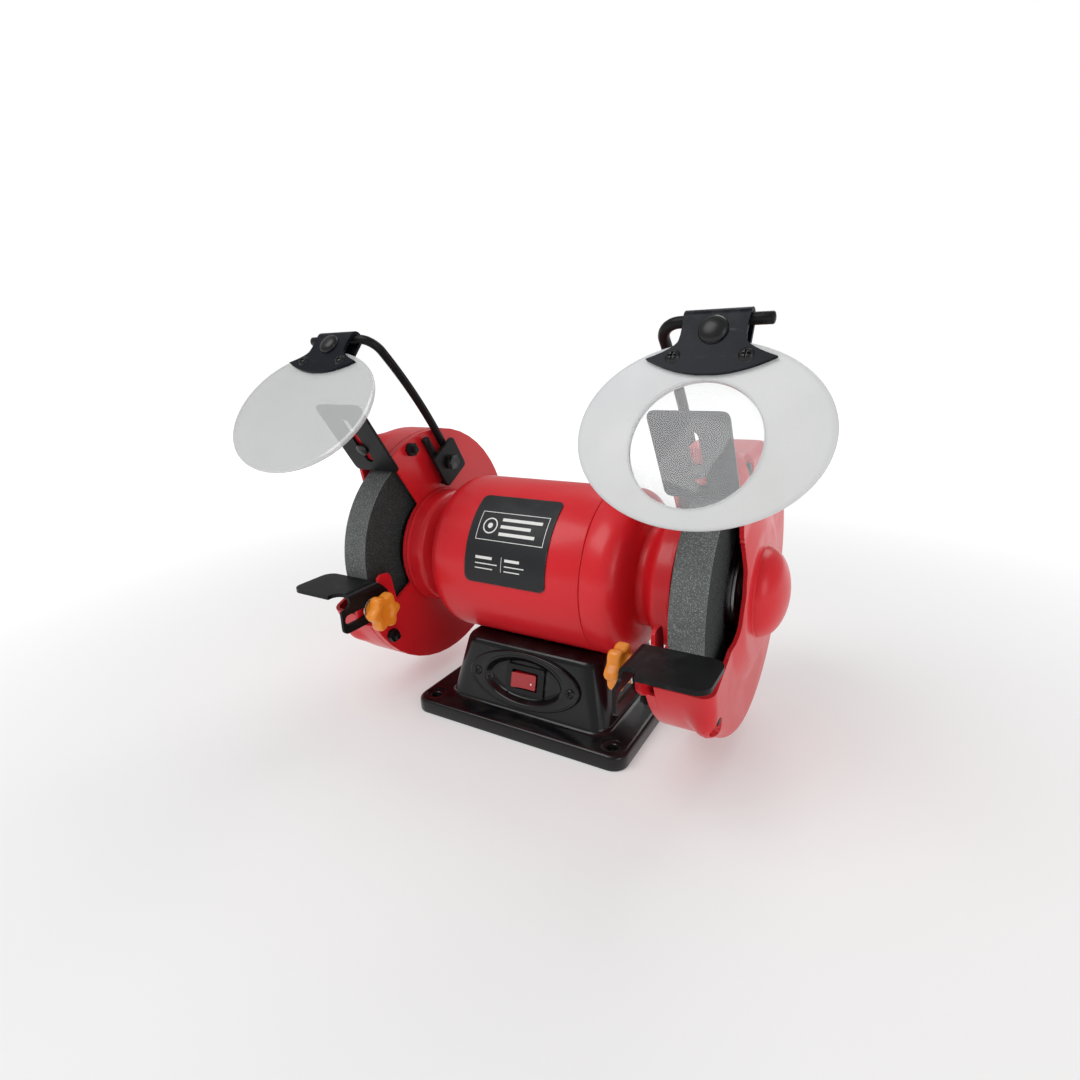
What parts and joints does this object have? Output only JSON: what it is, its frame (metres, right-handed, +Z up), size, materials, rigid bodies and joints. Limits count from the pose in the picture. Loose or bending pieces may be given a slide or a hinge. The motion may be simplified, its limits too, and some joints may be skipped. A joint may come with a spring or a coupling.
{
  "type": "bench grinder",
  "caption": "Bench grinder: cast switch base, round motor, a guarded grinding wheel on each shaft end, tool rests, spark arrestors and oval eye shields on bent rods.",
  "frame": {"origin": "centre of the base underside, on the bench top", "axes": "+X along the shaft to the right-hand wheel, -Y towards the user, +Z up"},
  "size_m": [0.376, 0.2209, 0.2692],
  "materials": {
    "red_paint": "gloss enamel over castings and pressed steel",
    "black_paint": "satin black enamel or blackened steel",
    "black_plastic": "fine-grained moulded plastic",
    "orange_plastic": "moulded plastic, lightly polished",
    "red_plastic": "translucent moulded plastic",
    "black_rubber": "moulded rubber",
    "abrasive": null,
    "copper_winding": "lacquered copper wire, tied",
    "lamination": "stacked electrical steel",
    "rotor_iron": "stacked electrical steel with cast end rings",
    "bright_steel": "turned and plated steel",
    "clear_plastic": "clear polycarbonate"
  },
  "bodies": {
    "frame": {"base_housing": "black_paint", "bottom_cover": "black_paint", "switch_plate": "black_plastic", "switch_body": "black_plastic", "switch_plate_screw_left": "black_paint", "switch_plate_screw_right": "black_paint", "cord_gland": "black_rubber", "run_capacitor": "bright_steel", "motor_housing": "red_paint", "motor_end_cover": "red_paint", "nameplate": "black_plastic", "stator_core": "lamination", "stator_winding_left": "copper_winding", "stator_winding_right": "copper_winding", "wave_washer": "bright_steel", "bearing_left": "bright_steel", "bearing_right": "bright_steel", "inner_guard_left": "red_paint", "outer_cover_left": "red_paint", "cover_bolt_top_left": "black_paint", "cover_bolt_front_left": "black_paint", "spark_screw_left": "bright_steel", "clamp_bolt_left": "black_paint", "inner_guard_right": "red_paint", "outer_cover_right": "red_paint", "cover_bolt_top_right": "black_paint", "cover_bolt_front_right": "black_paint", "spark_screw_right": "bright_steel", "clamp_bolt_right": "black_paint"},
    "rotor": {"rotor_shaft": "bright_steel", "rotor_core": "rotor_iron", "grinding_wheel_left": "abrasive", "wheel_flange_inner_left": "bright_steel", "wheel_flange_outer_left": "bright_steel", "arbor_nut_left": "bright_steel", "grinding_wheel_right": "abrasive", "wheel_flange_inner_right": "bright_steel", "wheel_flange_outer_right": "bright_steel", "arbor_nut_right": "bright_steel"},
    "rocker": {"switch_rocker": "red_plastic"},
    "rest_washer_left": {"rest_washer_left": "bright_steel"},
    "tool_rest_left": {"tool_rest_left": "black_paint"},
    "rest_knob_left": {"rest_knob_left": "orange_plastic"},
    "spark_arrestor_left": {"spark_arrestor_left": "black_paint"},
    "shield_arm_left": {"shield_rod_left": "black_paint", "rod_clamp_left": "black_paint"},
    "shield_left": {"shield_bracket_left": "black_paint", "shield_lens_left": "clear_plastic", "bracket_bolt_left": "black_paint"},
    "rest_washer_right": {"rest_washer_right": "bright_steel"},
    "tool_rest_right": {"tool_rest_right": "black_paint"},
    "rest_knob_right": {"rest_knob_right": "orange_plastic"},
    "spark_arrestor_right": {"spark_arrestor_right": "black_paint"},
    "shield_arm_right": {"shield_rod_right": "black_paint", "rod_clamp_right": "black_paint"},
    "shield_right": {"shield_bracket_right": "black_paint", "shield_lens_right": "clear_plastic", "bracket_bolt_right": "black_paint", "magnifier_lens": "clear_plastic"}
  },
  "joints": [
    {"name": "rotor_spin", "type": "hinge", "parent": "frame", "child": "rotor", "pos_m": [0, 0, 0.107], "axis": [1, 0, 0], "continuous": true},
    {"name": "switch_rock", "type": "hinge", "parent": "frame", "child": "rocker", "pos_m": [0, -0.0471, 0.03317], "axis": [0, 0.236, 0.9718], "range_deg": [-16, 0]},
    {"name": "rest_tilt_left", "type": "hinge", "parent": "frame", "child": "rest_washer_left", "pos_m": [-0.1, -0.086, 0.084], "axis": [1, 0, 0], "range_deg": [-2, 25]},
    {"name": "rest_slide_left", "type": "slide", "parent": "rest_washer_left", "child": "tool_rest_left", "axis": [0, 1, 0], "range_m": [-0.011, 0.0003]},
    {"name": "rest_knob_turn_left", "type": "hinge", "parent": "frame", "child": "rest_knob_left", "pos_m": [-0.09, -0.086, 0.084], "axis": [1, 0, 0], "range_deg": [-720, 0]},
    {"name": "spark_slide_left", "type": "slide", "parent": "frame", "child": "spark_arrestor_left", "axis": [0, -0.5446, 0.8387], "range_m": [-0.003, 0.002]},
    {"name": "shield_arm_left", "type": "hinge", "parent": "frame", "child": "shield_arm_left", "pos_m": [-0.0983, 0.005, 0.1725], "axis": [1, 0, 0], "range_deg": [-40, 12]},
    {"name": "shield_tilt_left", "type": "hinge", "parent": "shield_arm_left", "child": "shield_left", "pos_m": [-0.128, -0.05859, 0.26389], "axis": [1, 0, 0], "range_deg": [-60, 3]},
    {"name": "rest_tilt_right", "type": "hinge", "parent": "frame", "child": "rest_washer_right", "pos_m": [0.1, -0.086, 0.084], "axis": [1, 0, 0], "range_deg": [-3, 25]},
    {"name": "rest_slide_right", "type": "slide", "parent": "rest_washer_right", "child": "tool_rest_right", "axis": [0, 1, 0], "range_m": [-0.0025, 0.0082]},
    {"name": "rest_knob_turn_right", "type": "hinge", "parent": "frame", "child": "rest_knob_right", "pos_m": [0.09, -0.086, 0.084], "axis": [1, 0, 0], "range_deg": [0, 720]},
    {"name": "spark_slide_right", "type": "slide", "parent": "frame", "child": "spark_arrestor_right", "axis": [0, -0.5446, 0.8387], "range_m": [-0.003, 0.002]},
    {"name": "shield_arm_right", "type": "hinge", "parent": "frame", "child": "shield_arm_right", "pos_m": [0.0983, 0.005, 0.1725], "axis": [1, 0, 0], "range_deg": [-40, 12]},
    {"name": "shield_tilt_right", "type": "hinge", "parent": "shield_arm_right", "child": "shield_right", "pos_m": [0.128, -0.05859, 0.26389], "axis": [1, 0, 0], "range_deg": [-60, 3]}
  ]
}
